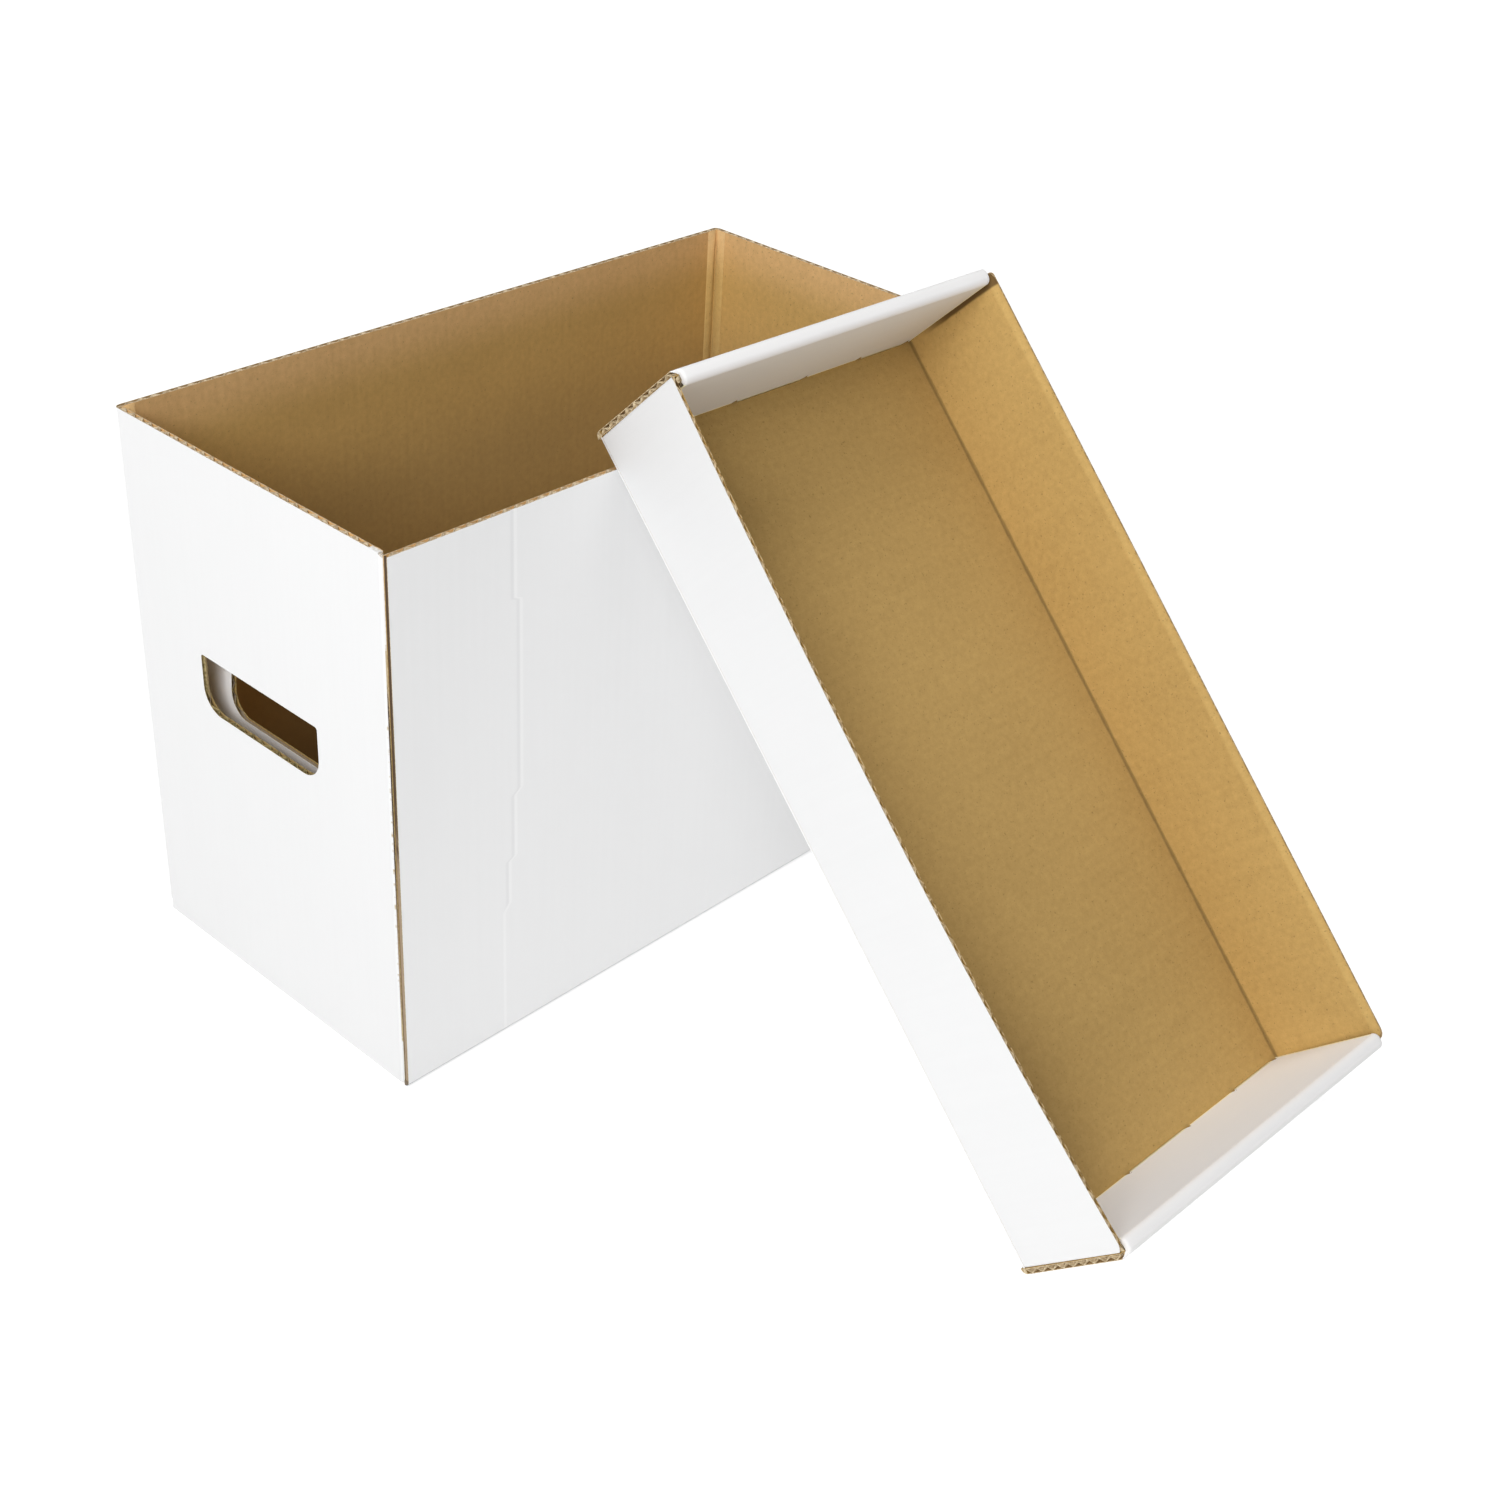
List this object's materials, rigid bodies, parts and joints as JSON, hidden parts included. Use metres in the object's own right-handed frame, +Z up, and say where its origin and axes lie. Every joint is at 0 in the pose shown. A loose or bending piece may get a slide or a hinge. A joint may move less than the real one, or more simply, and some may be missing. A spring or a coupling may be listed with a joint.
{
  "type": "comic book storage box",
  "caption": "Open-topped corrugated board box with hand holes and folded-up inner end panels; its lid leans against the front rim.",
  "frame": {"origin": "centre of the box's base, on the floor", "axes": "+Z up, X along the box's length, the front long wall with the leaning lid faces -Y"},
  "size_m": [0.386, 0.5138, 0.3333],
  "materials": {
    "white_paper": "matte",
    "kraft_paper": "matte",
    "kraft_medium": "matte",
    "kraft_board": "matte",
    "white_board": "matte"
  },
  "bodies": {
    "box": {"back_wall_face": "white_paper", "back_wall_fluting": "kraft_medium", "back_wall_lining": "kraft_paper", "bottom_tuck_tabs": "kraft_board", "front_wall_face": "white_paper", "front_wall_fluting": "kraft_medium", "front_wall_lining": "kraft_paper", "glue_tab": "kraft_board", "inner_bottom_board": "kraft_board", "inner_bottom_face": "white_paper", "left_end_wall_face": "white_paper", "left_end_wall_fluting": "kraft_medium", "left_end_wall_lining": "kraft_paper", "outer_bottom_board": "kraft_board", "outer_bottom_face": "white_paper", "right_end_wall_face": "white_paper", "right_end_wall_fluting": "kraft_medium", "right_end_wall_lining": "kraft_paper"},
    "lid": {"lid_flap_lower_left": "kraft_board", "lid_flap_lower_right": "kraft_board", "lid_flap_upper_left": "kraft_board", "lid_flap_upper_right": "kraft_board", "lid_left_side_face": "white_paper", "lid_left_side_fluting": "kraft_medium", "lid_left_side_lining": "kraft_paper", "lid_lower_end_inner_face": "white_paper", "lid_lower_end_inner_fluting": "kraft_medium", "lid_lower_end_inner_lining": "kraft_paper", "lid_lower_end_outer_face": "white_paper", "lid_lower_end_outer_fluting": "kraft_medium", "lid_lower_end_outer_lining": "kraft_paper", "lid_lower_end_roll": "white_board", "lid_right_side_face": "white_paper", "lid_right_side_fluting": "kraft_medium", "lid_right_side_lining": "kraft_paper", "lid_top_board": "kraft_board", "lid_top_face": "white_paper", "lid_upper_end_inner_face": "white_paper", "lid_upper_end_inner_fluting": "kraft_medium", "lid_upper_end_inner_lining": "kraft_paper", "lid_upper_end_outer_face": "white_paper", "lid_upper_end_outer_fluting": "kraft_medium", "lid_upper_end_outer_lining": "kraft_paper", "lid_upper_end_roll": "white_board"},
    "inner_end_left": {"inner_end_left_face": "white_paper", "inner_end_left_fluting": "kraft_medium", "inner_end_left_lining": "kraft_paper"},
    "inner_end_right": {"inner_end_right_face": "white_paper", "inner_end_right_fluting": "kraft_medium", "inner_end_right_lining": "kraft_paper"}
  },
  "joints": [
    {"name": "lid_lift", "type": "slide", "parent": "box", "child": "lid", "axis": [0, 0, 1], "range_m": [0, 0.3]},
    {"name": "inner_end_left_fold", "type": "hinge", "parent": "box", "child": "inner_end_left", "pos_m": [-0.1871, 0, 0.0054], "axis": [0, 1, 0], "range_deg": [-4, 85]},
    {"name": "inner_end_right_fold", "type": "hinge", "parent": "box", "child": "inner_end_right", "pos_m": [0.1871, 0, 0.0054], "axis": [0, -1, 0], "range_deg": [-4, 85]}
  ]
}
